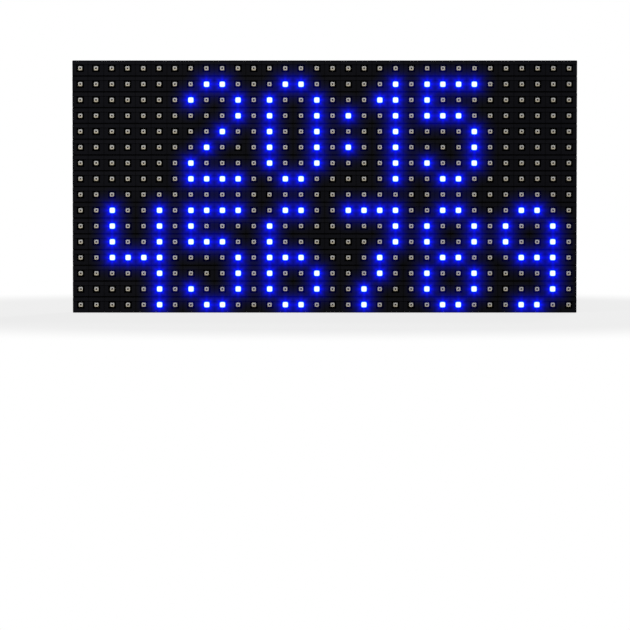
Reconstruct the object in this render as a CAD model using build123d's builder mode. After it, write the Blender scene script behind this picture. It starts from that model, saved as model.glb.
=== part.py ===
from build123d import *
import math
import os

# LED matrix module, 32 x 16 dots. The viewer of the lit face looks along +Y.
# X runs to the right, Z runs up and Y runs from the lit face to the back.
# The origin is the middle of the four threaded inserts, on the back mounting face.
# Every depth below is measured forward from that mounting face.

os.makedirs("parts", exist_ok=True)

# Dot matrix
pitch = 10.0
columns = 32
rows = 16

# Stack of mask, board and frame
frame_depth = 12.0      # mounting face to the frame's seat for the board
board_t = 1.6
joint_gap = 1.0         # board's front face to the back of the mask plate
mask_t = 1.7            # mask plate at the windows
skirt_t = 1.6           # walls of frame and mask round the board's edge
board_clear = 0.3       # board's edge to the skirt, on each side

# Front mask
window_h = 4.8
window_dots = 8         # dots behind one long window
web_w = 5.2             # bar between two long windows
groove_w = 1.0          # groove between two rows of dots
groove_d = 0.9
lip_h = 0.9             # shade lip over a row, at the window
lip_back_h = 0.35       # the same lip where it meets the groove

# LED packages
led_w = 3.1
led_h = 2.8

# Back frame, as seen from behind
rim_side_w = 7.0        # rim along the two short sides
rim_long_w = 6.0        # rim along the two long sides
rim_slope_w = 5.0
rim_slope_d = 0.8
gutter_w = 1.6
gutter_d = 6.0
ledge_w = 2.1
ledge_d = 2.2
plate_d = 1.0           # mounting face to the flat back of the ribs
border_side_w = 22.0    # module's edge to the windows, along the two short sides
border_long_w = 21.0    # the same along the two long sides
field_r = 1.5           # outer corners of the windows
mid_rib_w = 9.0
side_rib_w = 9.5
side_rib_x = 80.0
short_rib_w = 9.2
short_rib_step = 24.0   # side rib to short rib
cross_rib_w = 9.1
cross_rib_z = 20.35
brace_w = 9.4
brace_drop = 1.55       # a brace's root, nearer the middle than the cross rib
brace_angle = 28.0
brace_l = 42.0

# Pockets for the case screws. They and the screws are round and repeat, so each has a few flat sides.
pocket_sides = 12
screw_sides = 10
pocket_r = 3.0
pocket_floor = 2.5      # frame left under a pocket
corner_pocket_x = 10.0  # module's short side to a corner pocket
rim_pocket_z = 9.0      # module's long side to the pockets along it
rim_pocket_x = [100.0, 60.0, 10.0]
end_pocket_z = 20.0
rib_pocket_r = 3.1
rib_pocket_x = 10.0     # pockets on the cross ribs, beside the middle rib
rib_pocket_drop = 0.35  # pockets on the cross ribs, nearer the middle than the rib
mid_pocket_gap = 6.0    # window to the pocket above the middle rib

# Case screws and their bosses on the mask
screw_r = 1.1
screw_l = 5.5           # length under the head
screw_head_r = 2.4
screw_head_h = 1.7
screw_clear = 0.25      # shank to the frame's hole, all round
boss_r = 2.2
boss_clear = 0.3        # boss to the board's hole, all round
pilot_clear = 0.5       # screw's tip to the bottom of its pilot hole

# Threaded inserts
insert_edge_x = 16.0    # module's short side to an insert
insert_edge_z = 30.0    # module's long side to an insert
insert_r = 2.75
insert_bore_r = 1.5
insert_l = 8.0
insert_boss_r = 4.35
insert_sides = 16       # flats of the knurl that grips the frame

# Driver chips with 16 leads, small chips with 8
chip_l = 9.9
chip_w = 3.9
chip_h = 1.5
chip_gap = 0.15         # board to the underside of a chip
end_chip_x = {"left": 30.0, "right": 24.0}      # end of the windows to the chips there
inner_chip_x = {"left": 35.0, "right": 27.0}    # middle of the module to the chips beside it
chip_drops = [2.1, 19.4]    # top of the windows to the upper lines of chips
chip_rise = 21.0        # bottom of the windows to the lowest line of chips
bus_chip_step = 6.0     # side rib to the chip that lies upright beside it
small_chip_l = 4.9
small_chip_x = -18.7
small_chip_steps = {"upper": 9.55, "lower": 7.45}   # cross rib to a small chip
lead_span = 6.0         # room for the leads, across the chip
chip_relief = 0.6       # free space round a chip that a rib passes over

# Capacitors
can_r = 3.0
can_h = 5.6
can_base_w = 6.6
can_base_h = 1.2
can_x = 25.0
can_step = 8.8          # left side rib to the can beside it
can_z = 0.4
chip_cap_l = 2.0
chip_cap_w = 1.25
chip_cap_h = 0.8
chip_cap_gap = 1.6      # driver chip's end to its capacitor

# Data headers, 2 x 8 pins in an open shroud
header_l = 27.9
header_w = 8.9
header_h = 9.0
header_wall = 1.1
header_floor = 2.5
header_notch = 4.5
pin_pitch = 2.54
pin_w = 0.64
pin_l = 5.6
input_gap = 2.95        # short rib to the input header
output_shift = 1.5      # output header, nearer the rib than the middle of its window

# Power header, 2 x 4 contacts
power_l = 12.6
power_w = 6.4
power_h = 8.2
power_wall = 0.9
power_floor = 2.5
power_pitch = 3.1
power_row = 3.2         # between the two rows of contacts
contact_w = 0.9
contact_l = 4.5
foot_l = 2.2
foot_t = 0.4
power_at = (-36.8, 2.1)

# Blank oval sticker
sticker_l = 18.7
sticker_w = 5.6
sticker_t = 0.15
sticker_step = 25.3     # right side rib to the sticker
sticker_drop = 19.0     # top of the windows to the sticker
sticker_turn = -2.0

# Extra holes in the board
board_hole_r = 2.0
board_holes = [(15.6, 51.8), (15.9, -25.5)]

# Derived sizes
module_w = columns * pitch
module_h = rows * pitch
seam = frame_depth + board_t
mask_back = seam + joint_gap
land = mask_back + mask_t
row_z = [(rows - 1) * pitch / 2 - pitch * i for i in range(rows)]
lip_w = (pitch - window_h - groove_w) / 2
board_w = module_w - 2 * (skirt_t + board_clear)
board_h = module_h - 2 * (skirt_t + board_clear)
field_w = module_w - 2 * border_side_w
field_h = module_h - 2 * border_long_w
short_rib_x = side_rib_x + short_rib_step
brace_z = cross_rib_z - brace_drop
rib_pocket_z = cross_rib_z - rib_pocket_drop
corner = (module_w / 2 - corner_pocket_x, module_h / 2 - rim_pocket_z)
screw_seat = frame_depth - pocket_floor
boss_end = frame_depth
pilot_end = screw_seat + screw_l + pilot_clear


def facing_front(depth):
    # Plane across the module at this depth, with its normal towards the viewer.
    return Plane.XZ.offset(depth)


def mirrored(points):
    # These points with their mirror copies in the other quarters, once each.
    return sorted({(sx * x, sz * z) for x, z in points for sx in (1, -1) for sz in (1, -1)})


screws = mirrored([corner])
rim_pockets = screws + mirrored([(x, corner[1]) for x in rim_pocket_x] + [(corner[0], end_pocket_z)])
rib_pockets = mirrored([(side_rib_x, rib_pocket_z), (rib_pocket_x, rib_pocket_z)])
rib_pockets += mirrored([(0.0, field_h / 2 + mid_pocket_gap)])
inserts = mirrored([(module_w / 2 - insert_edge_x, module_h / 2 - insert_edge_z)])

# Places of the components on the board's back
chip_x = [end_chip_x["left"] - field_w / 2, -inner_chip_x["left"]]
chip_x += [inner_chip_x["right"], field_w / 2 - end_chip_x["right"]]
chip_z = [field_h / 2 - drop for drop in chip_drops] + [chip_rise - field_h / 2]
bus_chip_x = side_rib_x + bus_chip_step
small_chips = [(small_chip_x, cross_rib_z + small_chip_steps["upper"])]
small_chips += [(small_chip_x, -cross_rib_z - small_chip_steps["lower"])]
cans = [(can_x, can_z), (-side_rib_x - can_step, can_z)]
rib_edge = short_rib_x + short_rib_w / 2
input_x = rib_edge + input_gap + header_w / 2
output_x = output_shift - (rib_edge + field_w / 2) / 2
data_headers = {"input": input_x, "output": output_x}
sticker_at = (side_rib_x - sticker_step, field_h / 2 - sticker_drop)


def round_hole(radius, sides):
    # Flat-sided outline that a round piece of this radius just passes through.
    RegularPolygon(radius, sides, major_radius=False)


def round_pin(radius, sides):
    # Flat-sided outline that just fits inside a circle of this radius.
    RegularPolygon(radius, sides)


def save(block, name):
    block.part.label = name
    export_step(block.part, f"parts/{name}.step")


# Front mask: plate and skirt, shade lips, grooves, long windows and screw bosses
with BuildPart() as front_mask:
    with BuildSketch(facing_front(seam)):
        Rectangle(module_w, module_h)
    extrude(amount=land - seam)
    with BuildSketch(facing_front(seam)):
        Rectangle(module_w - 2 * skirt_t, module_h - 2 * skirt_t)
    extrude(amount=joint_gap, mode=Mode.SUBTRACT)
    with BuildSketch(Plane.YZ):
        with Locations([(-land, z + window_h / 2) for z in row_z]):
            Polygon((0, 0), (-lip_h, 0), (-lip_back_h, lip_w), (0, lip_w), align=None)
    extrude(amount=module_w / 2, both=True)
    with BuildSketch(facing_front(land - groove_d)):
        with Locations([(0, z - pitch / 2) for z in row_z[:-1]]):
            Rectangle(module_w, groove_w)
    extrude(amount=groove_d, mode=Mode.SUBTRACT)
    with BuildSketch(facing_front(mask_back)):
        with Locations([(0, z) for z in row_z]):
            with GridLocations(window_dots * pitch, 0, columns // window_dots, 1):
                Rectangle(window_dots * pitch - web_w, window_h)
    extrude(amount=mask_t, mode=Mode.SUBTRACT)
    with BuildSketch(facing_front(boss_end)):
        with Locations(*screws):
            round_pin(boss_r, pocket_sides)
    extrude(amount=mask_back - boss_end)
    with BuildSketch(facing_front(boss_end)):
        with Locations(*screws):
            round_hole(screw_r, screw_sides)
    extrude(amount=pilot_end - boss_end, mode=Mode.SUBTRACT)
save(front_mask, "front_mask")

# Circuit board, with holes for the mask's bosses
with BuildPart() as circuit_board:
    with BuildSketch(facing_front(frame_depth)):
        Rectangle(board_w, board_h)
    extrude(amount=board_t)
    with BuildSketch(facing_front(frame_depth)):
        with Locations(*screws):
            round_hole(boss_r + boss_clear, pocket_sides)
        with Locations(*board_holes):
            round_hole(board_hole_r, pocket_sides)
    extrude(amount=board_t, mode=Mode.SUBTRACT)
save(circuit_board, "circuit_board")

# LED packages, one node for each row
for number, z in enumerate(row_z, start=1):
    with BuildPart() as led_row:
        with BuildSketch(facing_front(seam)):
            with Locations((0, z)):
                with GridLocations(pitch, 0, columns, 1):
                    Rectangle(led_w, led_w)
        extrude(amount=led_h)
    save(led_row, f"led_row_{number:02d}")

# Back frame: sloped rim, gutter, ledge, plate with windows between the ribs, pockets and bosses
inner_w = module_w - 2 * rim_side_w
inner_h = module_h - 2 * rim_long_w
ledge_outer_w = inner_w - 2 * gutter_w
ledge_outer_h = inner_h - 2 * gutter_w
with BuildPart() as back_frame:
    with BuildSketch(Plane.XZ):
        Rectangle(module_w, module_h)
    extrude(amount=seam)
    rim_edges = back_frame.faces().sort_by(Axis.Y)[-1].edges()
    chamfer(rim_edges, length=rim_slope_d, length2=rim_slope_w)
    with BuildSketch(facing_front(frame_depth)):
        Rectangle(module_w - 2 * skirt_t, module_h - 2 * skirt_t)
    extrude(amount=board_t, mode=Mode.SUBTRACT)
    with BuildSketch(Plane.XZ):
        Rectangle(inner_w, inner_h)
    extrude(amount=plate_d, mode=Mode.SUBTRACT)
    with BuildSketch(Plane.XZ):
        Rectangle(inner_w, inner_h)
        Rectangle(ledge_outer_w, ledge_outer_h, mode=Mode.SUBTRACT)
    extrude(amount=gutter_d, mode=Mode.SUBTRACT)
    with BuildSketch(Plane.XZ):
        Rectangle(ledge_outer_w, ledge_outer_h)
        Rectangle(ledge_outer_w - 2 * ledge_w, ledge_outer_h - 2 * ledge_w, mode=Mode.SUBTRACT)
    extrude(amount=ledge_d, mode=Mode.SUBTRACT)
    with BuildSketch(Plane.XZ) as windows:
        RectangleRounded(field_w, field_h, field_r)
        Rectangle(mid_rib_w, field_h, mode=Mode.SUBTRACT)
        with Locations((side_rib_x, 0), (-side_rib_x, 0)):
            Rectangle(side_rib_w, field_h, mode=Mode.SUBTRACT)
        with Locations((0, cross_rib_z), (0, -cross_rib_z)):
            Rectangle(2 * short_rib_x + short_rib_w, cross_rib_w, mode=Mode.SUBTRACT)
        with Locations((short_rib_x, 0), (-short_rib_x, 0)):
            Rectangle(short_rib_w, 2 * cross_rib_z, mode=Mode.SUBTRACT)
        for x, z in mirrored([(short_rib_x, brace_z)]):
            with Locations(Location((x, z, 0), (0, 0, math.copysign(brace_angle, x * z)))):
                with Locations((math.copysign(brace_l / 2, x), 0)):
                    Rectangle(brace_l, brace_w, mode=Mode.SUBTRACT)
    extrude(amount=frame_depth, mode=Mode.SUBTRACT)
    with BuildSketch(Plane.XZ):
        with Locations(*inserts):
            round_pin(insert_boss_r, insert_sides)
    extrude(amount=insert_l)
    with BuildSketch(Plane.XZ):
        with Locations(*inserts):
            round_hole(insert_r, insert_sides)
    extrude(amount=insert_l, mode=Mode.SUBTRACT)
    with BuildSketch(Plane.XZ):
        with Locations(*rim_pockets):
            round_hole(pocket_r, pocket_sides)
        with Locations(*rib_pockets):
            round_hole(rib_pocket_r, pocket_sides)
    extrude(amount=screw_seat, mode=Mode.SUBTRACT)
    with BuildSketch(Plane.XZ):
        with Locations(*screws):
            round_hole(screw_r + screw_clear, screw_sides)
    extrude(amount=frame_depth, mode=Mode.SUBTRACT)
    with BuildSketch(facing_front(frame_depth)):
        with Locations((bus_chip_x, 0)):
            Rectangle(lead_span + 2 * chip_relief, chip_l + 2 * chip_relief)
    extrude(amount=-(chip_gap + chip_h + chip_relief), mode=Mode.SUBTRACT)
save(back_frame, "back_frame")

# Brass inserts, knurled outside and bored for the mounting screws
with BuildPart() as brass_inserts:
    with BuildSketch(Plane.XZ):
        with Locations(*inserts):
            round_hole(insert_r, insert_sides)
    extrude(amount=insert_l)
    with BuildSketch(Plane.XZ):
        with Locations(*inserts):
            Circle(insert_bore_r)
    extrude(amount=insert_l, mode=Mode.SUBTRACT)
save(brass_inserts, "brass_inserts")

# Case screws: head on the pocket's floor, shank through frame and board into the mask's boss
with BuildPart() as case_screws:
    with BuildSketch(facing_front(screw_seat - screw_head_h)):
        with Locations(*screws):
            round_pin(screw_head_r, pocket_sides)
    extrude(amount=screw_head_h)
    with BuildSketch(facing_front(screw_seat)):
        with Locations(*screws):
            round_pin(screw_r, screw_sides)
    extrude(amount=screw_l)
save(case_screws, "case_screws")


def chip(name, x, z, length, width):
    # One moulded chip body, a little clear of the board.
    with BuildPart() as body:
        with BuildSketch(facing_front(frame_depth - chip_gap)):
            with Locations((x, z)):
                Rectangle(length, width)
        extrude(amount=-chip_h)
    save(body, name)


# Driver chips, counted along each line from the left and down, and the small chips
driver_chips = [(x, z) for z in chip_z for x in chip_x]
for number, (x, z) in enumerate(driver_chips, start=1):
    chip(f"driver_chip_{number:02d}", x, z, chip_l, chip_w)
chip("bus_chip", bus_chip_x, 0, chip_w, chip_l)
for number, (x, z) in enumerate(small_chips, start=1):
    chip(f"switch_chip_{number}", x, z, small_chip_l, chip_w)

# Capacitors: round cans on square bases
with BuildPart() as capacitor_bases:
    with BuildSketch(facing_front(frame_depth)):
        with Locations(*cans):
            Rectangle(can_base_w, can_base_w)
    extrude(amount=-can_base_h)
save(capacitor_bases, "capacitor_bases")
with BuildPart() as capacitor_cans:
    with BuildSketch(facing_front(frame_depth - can_base_h)):
        with Locations(*cans):
            Circle(can_r)
    extrude(amount=-can_h)
save(capacitor_cans, "capacitor_cans")

# Chip capacitors, one at the left end of each driver chip
with BuildPart() as chip_capacitors:
    with BuildSketch(facing_front(frame_depth)):
        reach = chip_l / 2 + chip_cap_gap + chip_cap_w / 2
        with Locations([(x - reach, z) for x, z in driver_chips]):
            Rectangle(chip_cap_w, chip_cap_l)
    extrude(amount=-chip_cap_h)
save(chip_capacitors, "chip_capacitors")

# Data headers: shroud open to the back, with a notch in one long wall, and 16 pins
for use, x in data_headers.items():
    with BuildPart() as shell:
        with BuildSketch(facing_front(frame_depth)):
            with Locations((x, 0)):
                Rectangle(header_w, header_l)
        extrude(amount=-header_h)
        with BuildSketch(facing_front(frame_depth - header_floor)):
            with Locations((x, 0)):
                Rectangle(header_w - 2 * header_wall, header_l - 2 * header_wall)
            with Locations((x + (header_w - header_wall) / 2, 0)):
                Rectangle(header_wall, header_notch)
        extrude(amount=header_floor - header_h, mode=Mode.SUBTRACT)
    save(shell, f"{use}_header_shell")
    with BuildPart() as pins:
        with BuildSketch(facing_front(frame_depth - header_floor)):
            with Locations((x, 0)):
                with GridLocations(pin_pitch, pin_pitch, 2, 8):
                    Rectangle(pin_w, pin_w)
        extrude(amount=-pin_l)
    save(pins, f"{use}_header_pins")

# Power header: open body with two rows of four contacts, and a foot under each contact
with BuildPart() as power_body:
    with BuildSketch(facing_front(frame_depth)):
        with Locations(power_at):
            Rectangle(power_l, power_w)
    extrude(amount=-power_h)
    with BuildSketch(facing_front(frame_depth - power_floor)):
        with Locations(power_at):
            Rectangle(power_l - 2 * power_wall, power_w - 2 * power_wall)
    extrude(amount=power_floor - power_h, mode=Mode.SUBTRACT)
save(power_body, "power_header_body")
with BuildPart() as power_contacts:
    with BuildSketch(facing_front(frame_depth - power_floor)):
        with Locations(power_at):
            with GridLocations(power_pitch, power_row, 4, 2):
                Rectangle(contact_w, contact_w)
    extrude(amount=-contact_l)
save(power_contacts, "power_header_contacts")
with BuildPart() as power_feet:
    with BuildSketch(facing_front(frame_depth)):
        with Locations(power_at):
            with GridLocations(power_pitch, power_w + foot_l, 4, 2):
                Rectangle(contact_w, foot_l)
    extrude(amount=-foot_t)
save(power_feet, "power_header_feet")

# Blank sticker with round ends
with BuildPart() as sticker:
    with BuildSketch(facing_front(frame_depth)):
        with Locations(Location((*sticker_at, 0), (0, 0, sticker_turn))):
            SlotOverall(sticker_l, sticker_w)
    extrude(amount=-sticker_t)
save(sticker, "blank_sticker")
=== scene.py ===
import math

import bmesh
import bpy
from bpy.props import (FloatProperty, FloatVectorProperty, IntProperty, PointerProperty,
                       StringProperty)
from bpy.types import Operator, Panel, PropertyGroup
from mathutils import Matrix, Vector


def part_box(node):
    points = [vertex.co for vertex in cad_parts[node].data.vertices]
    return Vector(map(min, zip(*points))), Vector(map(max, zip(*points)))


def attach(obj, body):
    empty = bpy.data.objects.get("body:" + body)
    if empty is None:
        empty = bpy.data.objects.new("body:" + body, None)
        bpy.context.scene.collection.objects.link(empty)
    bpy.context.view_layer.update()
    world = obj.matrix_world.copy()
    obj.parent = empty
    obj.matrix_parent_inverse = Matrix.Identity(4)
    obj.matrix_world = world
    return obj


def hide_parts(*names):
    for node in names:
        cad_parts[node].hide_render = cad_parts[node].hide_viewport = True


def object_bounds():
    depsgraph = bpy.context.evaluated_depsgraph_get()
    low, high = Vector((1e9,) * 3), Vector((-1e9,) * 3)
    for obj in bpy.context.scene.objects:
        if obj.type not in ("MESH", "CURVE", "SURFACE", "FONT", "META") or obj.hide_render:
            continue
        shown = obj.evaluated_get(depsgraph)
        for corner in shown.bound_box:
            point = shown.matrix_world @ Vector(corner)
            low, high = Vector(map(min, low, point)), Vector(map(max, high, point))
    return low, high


bl_info = {
    "name": "LED matrix module",
    "version": (1, 0, 0),
    "blender": (4, 5, 0),
    "location": "3D View > Sidebar > LED module",
    "description": "Finishes the mask, dots, board, moulding and parts of an LED matrix module",
    "category": "Add Mesh",
}

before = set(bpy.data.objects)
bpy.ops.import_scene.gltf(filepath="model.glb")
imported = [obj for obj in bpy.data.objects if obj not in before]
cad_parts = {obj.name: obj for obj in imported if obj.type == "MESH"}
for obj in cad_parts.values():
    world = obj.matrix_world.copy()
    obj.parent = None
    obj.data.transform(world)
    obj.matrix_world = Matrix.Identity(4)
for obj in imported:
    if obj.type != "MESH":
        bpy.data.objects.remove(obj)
CAD_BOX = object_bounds()

MM = 0.001

# Verts closer than MERGE are one. Angles between two faces: FLAT ones are joined, SHARP ones
# are rounded, and a window's corner has at least CORNER and is at least WINDOW_DEPTH long
MERGE = 0.002 * MM
FLAT = math.radians(1.0)
SHARP = math.radians(30.0)
CORNER = math.radians(40.0)
WINDOW_DEPTH = 8 * MM

# Heights of the layers, as distances forward from the mounting face
LIP_EDGE = -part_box("front_mask")[0].y
SEAM = -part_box("back_frame")[0].y
BOARD_BACK = -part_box("circuit_board")[1].y
DOT_TOP = -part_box("led_row_01")[0].y

ROWS = sorted(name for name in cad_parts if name.startswith("led_row_"))
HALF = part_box("front_mask")[1]
PITCH = 2 * HALF.z / len(ROWS)
COLUMNS = round(2 * HALF.x / PITCH)

# The states of the dots round a cell, one colour attribute for each line of three
LIT_LINES = {"lit_above": 1, "lit_beside": 0, "lit_below": -1}

# Places on the back frame: x of the upright ribs, and x and z of the middles of the lines
# along cross ribs and braces and of the threaded inserts
UPRIGHTS = (-80 * MM, 0.0, 80 * MM)
CROSS_MIDDLE = (45 * MM, 20.35 * MM)
CROSS_LINE = 58 * MM
BRACE_MIDDLE = (121 * MM, 27.8 * MM)
BRACE_LINE = 30 * MM
BRACE_ANGLE = math.radians(28.0)
INSERT = (144.0 * MM, 50.0 * MM)

# Turned parts, in millimetres: inset from a can's radius and height above its foot or depth
# below its top, and a screw head as shares of its radius and height
CAN_SIDE = ((0.25, 0.0), (0.0, 0.25), (0.0, 0.9), (0.25, 1.25), (0.0, 1.6))
CAN_TOP = ((0.0, 0.35), (0.1, 0.1), (0.35, 0.0), (0.7, 0.12))
SCREW_HEAD = ((1.0, 0.0), (1.0, 0.35), (0.86, 0.75), (0.55, 0.96), (0.0, 1.0))

# Thickness of the white print, and the bars printed round the parts, in millimetres from a
# part's middle: x, z, width, height
INK = 0.03 * MM
CHIP_BARS = [(-7.3, 0.0, 1.8, 0.25), (-8.6, 0.35, 0.3, 0.9), (6.3, 0.0, 0.3, 3.4),
             (7.1, 0.6, 0.9, 0.3)]
CHIP_BARS += [(x, 5.0, 0.8, 0.35) for x in (-4.2, -2.9, -1.9, -0.2, 1.2)]
CHIP_BARS += [(x, -5.4, 0.7, 0.45) for x in (-3.4, 0.6, 3.1)]
HEADER_BARS = [(side * 6.2, z, 0.3, 2.2) for side in (-1, 1) for z in (-9.0, 0.0, 9.0)]
HEADER_BARS += [(7.0, 4.0, 0.9, 0.35), (7.0, 2.8, 1.3, 0.35), (-7.2, -4.2, 1.6, 0.3),
                (-6.9, -6.0, 0.4, 1.4)]
POWER_BARS = [(x, 1.2 - 0.5 * x, 1.0, 0.4) for x in (8.2, 9.6, 11.0)]
POWER_BARS += [(x, -9.6, 0.9, 0.5) for x in (4.6, 6.2, 7.8, 9.2)]
POWER_BARS += [(-8.3, z, 0.8, 0.35) for z in (-4.0, -2.4, 0.6, 2.2)]
POWER_BARS += [(-12.0, -7.0, 0.3, 5.0), (14.4, -7.2, 3.6, 0.3), (17.6, -9.0, 0.3, 4.4),
               (-18.0, -2.0, 0.3, 7.0)]
SWITCH_BARS = [(0.0, 4.4, 1.6, 0.3), (4.0, 1.0, 0.5, 0.9), (-4.4, -0.8, 0.9, 0.4),
               (0.6, -4.8, 0.7, 1.1)]
PRINTED = {"driver_chip": CHIP_BARS, "input_header_shell": HEADER_BARS,
           "output_header_shell": HEADER_BARS, "power_header_body": POWER_BARS,
           "switch_chip": SWITCH_BARS}

# Plain digits, seven dots high
DIGITS = {
    "0": (" ## ", "#  #", "#  #", "#  #", "#  #", "#  #", " ## "),
    "1": (" #", "##", " #", " #", " #", " #", " #"),
    "2": (" ## ", "#  #", "   #", "  # ", " #  ", "#   ", "####"),
    "3": (" ## ", "#  #", "   #", " ## ", "   #", "#  #", " ## "),
    "4": ("#  #", "#  #", "#  #", "####", "   #", "   #", "   #"),
    "5": ("####", "#   ", "### ", "   #", "   #", "#  #", " ## "),
    "6": (" ## ", "#   ", "#   ", "### ", "#  #", "#  #", " ## "),
    "7": ("####", "   #", "   #", "  # ", "  # ", " #  ", " #  "),
    "8": (" ## ", "#  #", "#  #", " ## ", "#  #", "#  #", " ## "),
    "9": (" ## ", "#  #", "#  #", " ###", "   #", "   #", " ## "),
    ":": (" ", " ", "#", " ", "#", " ", " "),
}


def amount(name, description, default, **options):
    """A number that a user may change."""
    return FloatProperty(name=name, description=description, default=default, **options)


def length(name, description, millimetres):
    """A length that a user may change, given in millimetres."""
    return amount(name, description, millimetres * MM, min=0.0, precision=5, unit="LENGTH")


def angle(name, description, degrees):
    """An angle that a user may change, given in degrees."""
    return amount(name, description, math.radians(degrees), subtype="ANGLE", unit="ROTATION")


def tint(name, description, rgb):
    """A surface colour that a user may change."""
    return FloatVectorProperty(name=name, description=description, default=rgb, size=3,
                               min=0.0, max=1.0, subtype="COLOR")


def count(name, description, default):
    """A whole number that a user may change."""
    return IntProperty(name=name, description=description, default=default, min=0)


class MaskSizes(PropertyGroup):
    """Sizes and colours of the front mask."""

    window: length("Window", "Width and height of the window round one dot", 4.8)
    lip: length("Lip", "Height of the shade lip at the window", 0.5)
    lip_back: length("Lip at groove", "Height of the shade lip where it meets the groove", 0.2)
    groove_width: length("Groove width", "Width of the groove between two rows", 1.0)
    groove_depth: length("Groove depth", "Depth of the groove between two rows", 0.9)
    plate: length("Plate", "Thickness of the mask at the windows", 1.7)
    skirt: length("Skirt", "Wall round the edge of the board", 1.6)
    edge: length("Outer corner", "Radius of the mask's four outer corners", 0.6)
    boss: length("Screw boss", "Radius of the bosses that take the case screws", 2.2)
    colour: tint("Colour", "Moulded plastic of the mask", (0.0034, 0.0034, 0.0046))


class DotSizes(PropertyGroup):
    """Sizes and colours of the LED packages, which of them are lit, and the glow painted round them."""

    body: length("Package", "Width of an LED package", 2.75)
    corner: length("Package corner", "Radius of a package's corners", 0.45)
    edge: length("Package edge", "Chamfer round the top of a package", 0.16)
    cup: length("Cup", "Radius of the cup in a package", 0.9)
    cup_depth: length("Cup depth", "Depth of the cup in a package", 0.25)
    colour: tint("Package colour", "Moulded body of an unlit package", (0.44, 0.425, 0.375))
    # The white core of a lit dot reaches a little past its package: painted glow on the mask
    core: length("Core", "Half width of the white core of a lit dot", 1.7)
    # Painted shade: the darker rim stands for the package's rounded edge
    rim: length("Package rim", "Width of the darker rim of a package", 0.35)
    lens: tint("Lens colour", "Clear filling over the dark chip", (0.020, 0.012, 0.008))
    layer: tint("Layer colour", "Dark coating on the front of the board", (0.0004, 0.0004, 0.0006))
    layer_thick: length("Layer thickness", "Thickness of the dark coating", 0.05)
    upper: StringProperty(name="Upper line", description="Digits on the upper line", default="20:15")
    lower: StringProperty(name="Lower line", description="Digits on the lower line", default="456789")
    upper_row: count("Upper row", "Dots above the upper line", 1)
    lower_row: count("Lower row", "Dots above the lower line", 9)
    # Painted glow on the mask, the coating and the packages round a lit dot
    glow: amount("Glow", "Light on the mask close to a lit dot", 1.35)
    glow_radius: length("Glow radius", "Distance at which the glow is halved", 3.1)
    glow_fall: amount("Glow fall", "How steeply the glow falls", 3.4)
    glow_rays: amount("Glow rays", "Strength of the eight rays", 0.22, subtype="FACTOR")


class MouldingSizes(PropertyGroup):
    """Sizes and colours of the moulded back frame."""

    edge: length("Edge", "Rounding of the moulding's edges", 0.25)
    fillet: length("Window corner", "Radius of the corners between two ribs", 1.4)
    plate: length("Ribs", "Depth of the ribs' back below the mounting face", 1.0)
    recess_width: length("Recess width", "Width of the shallow recess along an upright rib", 5.2)
    recess_length: length("Recess length", "Length of the recess in an upper or lower bay", 33.0)
    recess_z: length("Recess height", "Middle of a recess above or below the module's middle", 42.5)
    recess_depth: length("Recess depth", "Depth of the recesses and lines", 0.45)
    line_width: length("Line width", "Width of the lines along cross ribs and braces", 2.0)
    rim_side: length("Rim at the sides", "Width of the rim along a short side", 7.0)
    rim_long: length("Rim at the top", "Width of the rim along a long side", 6.0)
    # Colour of the painted highlight on the rim's inner edge, the mitres and the rings round the inserts
    painted_highlight: tint("Worn edge", "Polished inner edge of the rim", (0.20, 0.225, 0.245))
    boss: length("Insert boss", "Radius of the boss round a threaded insert", 4.1)
    spot: length("Ejector mark", "Radius of the round marks that ejector pins leave", 2.2)
    colour: tint("Colour", "Glass-filled plastic", (0.0026, 0.0033, 0.0040))
    # The light patches are partly the plastic's mottling and partly a painted sheen
    light: tint("Light patches", "Paler patches of the same plastic", (0.0190, 0.0244, 0.0296))


class BoardColours(PropertyGroup):
    """Colours of the circuit board's back."""

    dark: tint("Dark green", "Solder mask between tracks", (0.0, 0.143, 0.051))
    pale: tint("Pale green", "Solder mask over tracks", (0.001, 0.320, 0.113))
    via: tint("Via", "Tented via", (0.50, 0.66, 0.42))
    gold: tint("Gold", "Bare gilded pad", (0.46, 0.48, 0.22))
    ink: tint("Marks", "White marks printed on the board", (0.70, 0.80, 0.72))


class PartSizes(PropertyGroup):
    """Sizes of the leads and other fine parts on the board."""

    lead_pitch: length("Lead pitch", "Distance between two leads of a chip", 1.27)
    lead_width: length("Lead width", "Width of a chip's lead", 0.41)
    lead_span: length("Lead span", "Distance across the tips of a chip's leads", 6.0)
    lead_thick: length("Lead thickness", "Thickness of a chip's lead", 0.18)
    pad: length("Pad", "Thickness of the solder on a pad", 0.06)
    pin: length("Pin", "Width of a header's pin", 0.64)
    bore: length("Insert bore", "Radius of an insert's thread", 1.5)
    thread: length("Thread depth", "Depth of an insert's thread", 0.25)
    thread_pitch: length("Thread pitch", "Pitch of an insert's thread", 0.5)


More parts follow.
